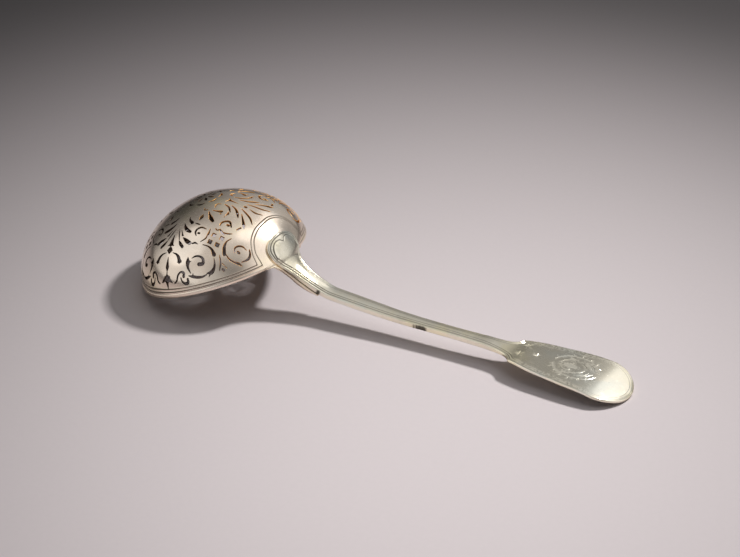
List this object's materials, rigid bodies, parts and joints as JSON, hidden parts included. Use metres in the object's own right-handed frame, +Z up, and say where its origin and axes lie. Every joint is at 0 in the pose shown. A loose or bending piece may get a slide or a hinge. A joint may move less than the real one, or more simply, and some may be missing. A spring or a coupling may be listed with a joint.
{
  "type": "sugar sifter spoon",
  "caption": "Silver serving spoon with a deep round pierced bowl, gilt inside, a swan neck and a long handle with a broad flat end, for sifting sugar.",
  "frame": {"origin": "under the middle of the overall length and width, on the surface that the spoon lies on", "axes": "+X from the bowl along the handle to its end, +Y across the handle, +Z up from the surface; the spoon lies face down, as pictured"},
  "size_m": [0.2056, 0.0688, 0.0376],
  "materials": {
    "bowl_silver": "polished silver, softly worn, gilt inside and in the cut walls of the piercings",
    "lip_silver": "polished silver",
    "handle_silver": "polished silver with fine scratches and dull grey reflections"
  },
  "bodies": {
    "root": {"bowl_shell": "bowl_silver", "lip_wire": "lip_silver", "handle": "handle_silver"}
  },
  "joints": []
}
